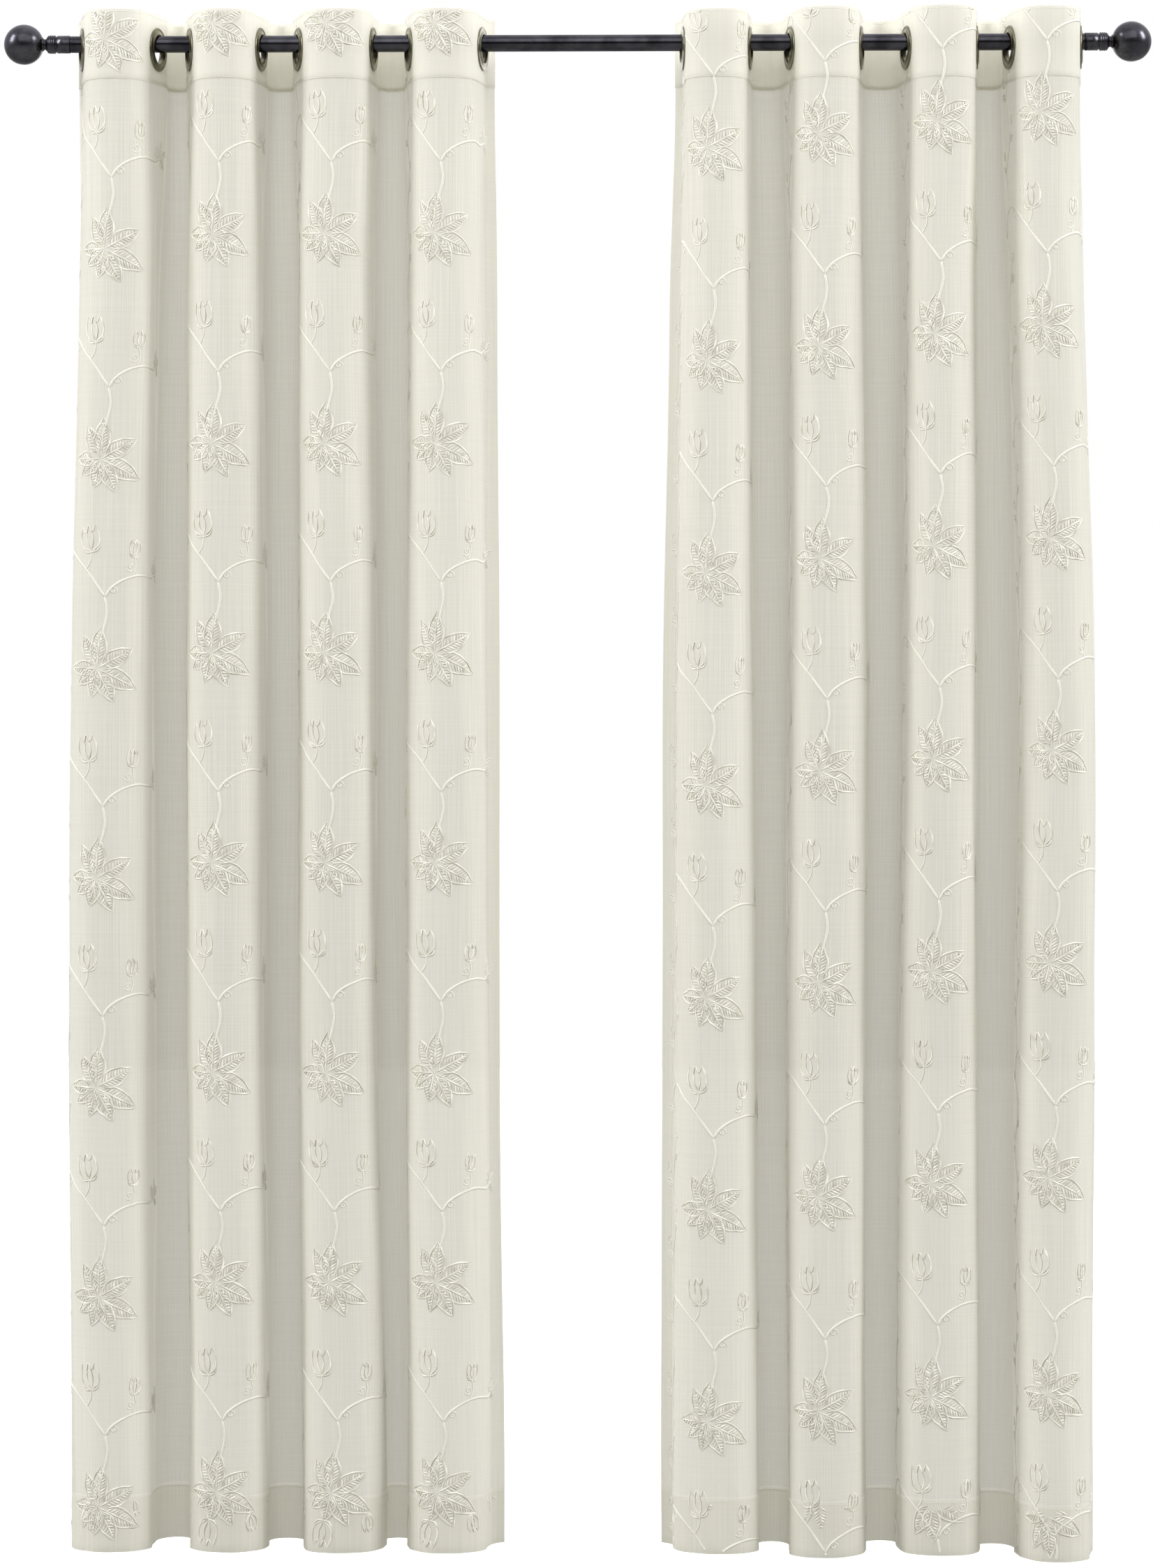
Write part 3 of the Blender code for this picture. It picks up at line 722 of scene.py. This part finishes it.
def budLines():
    # a tulip: an outer cup, two inner petals that cross at the foot and a middle one, then leaned
    shapes = (((0, 0), (-0.42, 0.22), (-0.5, 0.62), (-0.36, 1.0)),
              ((0, 0), (0.42, 0.22), (0.5, 0.62), (0.36, 1.0)),
              ((-0.36, 1.0), (-0.16, 0.72), (0, 1.04), (0.16, 0.72), (0.36, 1.0)),
              ((0, 0.05), (-0.16, 0.4), (-0.12, 0.75)), ((0, 0.05), (0.16, 0.4), (0.12, 0.75)),
              ((0, -0.02), (-0.3, 0.02), (-0.46, 0.2)), ((0, -0.02), (0.3, 0.02), (0.46, 0.2)))
    lines = []
    for x, z, wide, tall, lean in embroidery["buds"]:
        turn = radians(lean)
        for shape in shapes:
            line = smoothLine(shape, 8) * (wide, tall)
            lines.append(line @ np.array(((cos(turn), sin(turn)), (-sin(turn), cos(turn)))) + (x, z))
    return np.array(lines)


def curlLines():
    # spiral: radius falls from the size to a fifth of it over one and a quarter turns
    t = np.linspace(0, 1, 14)[:, None]
    lines = []
    for x, z, size, turn in embroidery["curls"]:
        angle = radians(turn) + 2.5 * pi * t
        spiral = size * (1 - 0.8 * t) * np.concatenate((np.cos(angle), np.sin(angle)), 1)
        lines.append(np.array((x, z)) + spiral)
    return np.array(lines)


def repeatLines(side, lines):
    # the lines of one repeat (mm) copied to every front fold and row (m), with those that fall on
    # the turned-up hem mirrored at the fold; also which points lie on cloth and clear of eyelets
    step = embroidery["repeat"][side]
    copies = []
    for fold, first in enumerate(embroidery["leafHeight"][side]):
        middle = cloth["sideMargin"] / mm + (2 * fold + 0.5) * pitch / mm - embroidery["leftOfFold"]
        copies += [lines + (middle, first - row * step) for row in embroidery["rows"]]
    whole = np.concatenate(copies) * mm
    low = whole[..., 1] < cloth["bottom"]
    turnedUp = low.all(1) & (whole[..., 1] > 2 * cloth["bottom"] - cloth["hemTop"] + 4 * mm).all(1)
    mirrored = whole[turnedUp] * (1, -1) + (0, 2 * cloth["bottom"])
    whole = np.concatenate((whole, mirrored))
    u, z = whole[..., 0], whole[..., 1]
    edge = embroidery["clearOfEdge"]
    inside = (u > edge) & (u < cloth["cutWidth"] - edge)
    inside &= (z > cloth["bottom"] + edge) & (z < cloth["top"] - embroidery["clearOfEyelet"])
    centres = cloth["sideMargin"] + pitch * np.arange(cloth["eyelets"])
    near = np.abs(u[..., None] - centres).min(-1)
    clear = np.hypot(near, z - eyeletHeight) > eyelet["radius"] + embroidery["clearOfEyelet"]
    return whole, inside & clear


# A thread's cross-section in shares of its width and height, with its foot just in the cloth
threadSection = ((-0.5, -0.15), (-0.26, 0.9), (0.26, 0.9), (0.5, -0.15))
# in the leaf thread, the tones that differ from line to line are painted shade for its raised stitches
threadShift = 0.37  # metres of thread from one line to the next, so that their tones differ


def layThreads(name, ground, lines, keep, width, height, material):
    # each line carries a low four-cornered ridge, tapered at its ends, along its cloth
    tangent = np.gradient(lines, axis=1)
    length = np.linalg.norm(tangent, axis=-1, keepdims=True)
    across = np.stack((-tangent[..., 1], tangent[..., 0]), -1) / np.maximum(length, 1e-9)
    count = lines.shape[1]
    taper = np.minimum(1, 0.25 + 1.6 * np.minimum(np.arange(count), np.arange(count)[::-1]))
    section = np.array(threadSection)
    flat = lines[:, :, None] + across[:, :, None] * (section[:, 0] * width)[:, None] * taper[:, None, None]
    points, normals = onCloth(ground, flat[..., 0], flat[..., 1])
    points = points + normals * (section[:, 1] * height)[:, None] * taper[:, None, None]
    run = np.cumsum(length[..., 0], 1)
    start = np.arange(len(lines))[:, None, None] * threadShift
    uv = np.stack(np.broadcast_arrays(run[:, :, None] + start, section[:, 0] * width), -1)
    ring = gridQuads(count, 4, wrap=True)
    whole = np.arange(len(lines))[:, None, None, None] * (count * 4) + ring
    whole = whole[keep[:, 1:] & keep[:, :-1]]
    return makeMesh(name, points.reshape(-1, 3), whole.reshape(-1, 4)[:, ::-1], uv.reshape(-1, 2), material)


sewn = {
    # width and height of the thread that each part is sewn with, in mm
    "leafEdges": (2.6, 1.0),
    "leafVeins": (2.8, 1.3),
    "stems": (4.0, 0.9),
    "vines": (2.4, 0.7),
    "leaflets": (2.5, 0.8),
    "buds": (2.4, 1.0),
    "curls": (2.0, 0.6),
}


def makeEmbroidery(side, ground, satin, leafStitchPaintedShade):
    # each part of the motif, on every fold of the panel, as one piece
    long, short = leafLines()
    stems = np.array([smoothLine(line, 26) for line in embroidery["stem"]])
    thin = np.array([smoothLine(line, 22) for line in embroidery["thinStem"]])
    parts = {
        "leafEdges": (long, leafStitchPaintedShade),
        "leafVeins": (short, leafStitchPaintedShade),
        "stems": (stems, satin),
        "vines": (thin, satin),
        "leaflets": (leafletLines(), satin),
        "buds": (budLines(), leafStitchPaintedShade),
        "curls": (curlLines(), satin),
    }
    pieces = []
    for name, (lines, material) in parts.items():
        width, height = sewn[name]
        whole, keep = repeatLines(side, lines)
        piece = layThreads(name + side.title(), ground, whole, keep, width * mm, height * mm, material)
        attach(piece, "root")
        pieces.append(piece)
    return pieces


stitch = {
    "pitch": 3.4 * mm,
    "length": 2.6 * mm,
    "width": 1.1 * mm,
    "height": 0.40 * mm,
    "fromEnds": 2 * mm,
    "fromSide": 24 * mm,
    "fromTop": 4 * mm,
    "fromFold": 3 * mm,  # above the seam, and below the hem's turned edge
}


def dashes(start, end):
    # a straight row of stitches from start to end, three points each
    start, end = np.array(start), np.array(end)
    whole = np.hypot(*(end - start))
    forward = (end - start) / whole
    first = np.arange(0, whole - stitch["length"], stitch["pitch"])
    way = first[:, None] + np.array((0, 0.5, 1)) * stitch["length"]
    return start + forward * way[..., None]


def makeStitching(side, ground, material):
    # three rows across, at the seam, the hem and the top, and one down each side hem
    ends, edge = stitch["fromEnds"], stitch["fromSide"]
    wide, low, high = cloth["cutWidth"], cloth["hemTop"], cloth["seam"] - ends
    seam, hem = cloth["seam"] + stitch["fromFold"], low - stitch["fromFold"]
    top = cloth["top"] - stitch["fromTop"]
    rows = [dashes((ends, seam), (wide - ends, seam)),
            dashes((ends, hem), (wide - ends, hem)),
            dashes((edge, low), (edge, high)),
            dashes((wide - edge, low), (wide - edge, high)),
            dashes((ends, top), (wide - ends, top))]
    lines = np.concatenate(rows)
    piece = layThreads("stitching" + side.title(), ground, lines, np.ones(lines.shape[:2], dtype=bool),
                       stitch["width"], stitch["height"], material)
    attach(piece, "root")
    return piece


thread = {
    # name, lighter and darker stitches, how far apart they are drawn, how much light they pass
    # the leaf thread's tone changes about every 22 mm, so mostly from one line to the next; its darker tone
    # is painted shade, standing in for the shadows of the raised stitches
    "satin": ("rayon satin stitch", "f5f3e8", "ebe9dd", 1.1 * mm, 0.12),
    "leaf": ("rayon leaf stitch, painted shade", "fffdf2", "c8c5b4", 22 * mm, 0.06),
    "back": "e9e8dd",
    "strand": 6 * mm,
}


def threadMaterial(kind):
    # Rayon embroidery thread: a little brighter and glossier than the voile.
    # Its stitches lie 0.4 mm apart, too fine to show, so their tones are drawn coarser; in the leaf thread
    # the darker tone is painted shade.
    name, light, dark, apart, through = thread[kind]
    material, tree = newMaterial(name)
    coords = addNode(tree, "ShaderNodeTexCoord")
    mapping = addNode(tree, "ShaderNodeMapping", {"Scale": (1 / apart, 1 / thread["strand"], 1)},
                      Vector=coords.outputs["UV"])
    strands = addNode(tree, "ShaderNodeTexNoise", {"Scale": 1.0, "Detail": 1.5}, Vector=mapping.outputs[0])
    tone = addNode(tree, "ShaderNodeMapRange", {"From Min": 0.35, "From Max": 0.65}, Value=strands.outputs[0])
    colour = addNode(tree, "ShaderNodeMix", {"data_type": "RGBA", 6: hexColour(dark), 7: hexColour(light)},
                     i0=tone.outputs[0])
    bump = addNode(tree, "ShaderNodeBump", {"Strength": 0.5, "Distance": 0.2 * mm}, Height=strands.outputs[0])
    front = addNode(tree, "ShaderNodeBsdfPrincipled", {
        "Roughness": 0.45, "Sheen Weight": 0.35, "Sheen Roughness": 0.3, "Specular IOR Level": 0.5,
    }, Base_Color=colour.outputs[2], Normal=bump.outputs[0])
    glow = addNode(tree, "ShaderNodeBsdfTranslucent", {"Color": hexColour(thread["back"])})
    body = addNode(tree, "ShaderNodeMixShader", {0: through}, i1=front.outputs[0], i2=glow.outputs[0])
    addNode(tree, "ShaderNodeOutputMaterial", Surface=body.outputs[0])
    return material


print("setting up the studio")
placeCamera()
makeFloor()
placeLights()
makeRoomLight()

print("hanging the cloth")
sheer, doubled, turned, backing = (voileMaterial(kind) for kind in ("sheer", "doubled", "turned", "backing"))
drawnPewter, turnedPewter, bronze = (metalMaterial(kind) for kind in ("drawn", "turned", "bronze"))
satin, leafStitchPaintedShade = threadMaterial("satin"), threadMaterial("leaf")
for side in ("left", "right"):
    panel, frontHeights = makePanel(side, sheer, turned, backing)
    heading, headingHeights = makeHeading(side, doubled, backing)
    for piece, slot in ((panel, "voile"), (heading, "doubled_voile")):
        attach(piece, "root")
    print("embroidering the", side, "panel")
    ground = embroideryGround(side, np.concatenate((frontHeights[frontHeights < cloth["seam"] - 0.5 * mm],
                                                    headingHeights)))
    pieces = makeEmbroidery(side, ground, satin, leafStitchPaintedShade)
    pieces.append(makeStitching(side, ground, satin))
    makeEyelets(side, bronze)

print("turning the metal")
makeRod(drawnPewter)
makeFinials(turnedPewter)
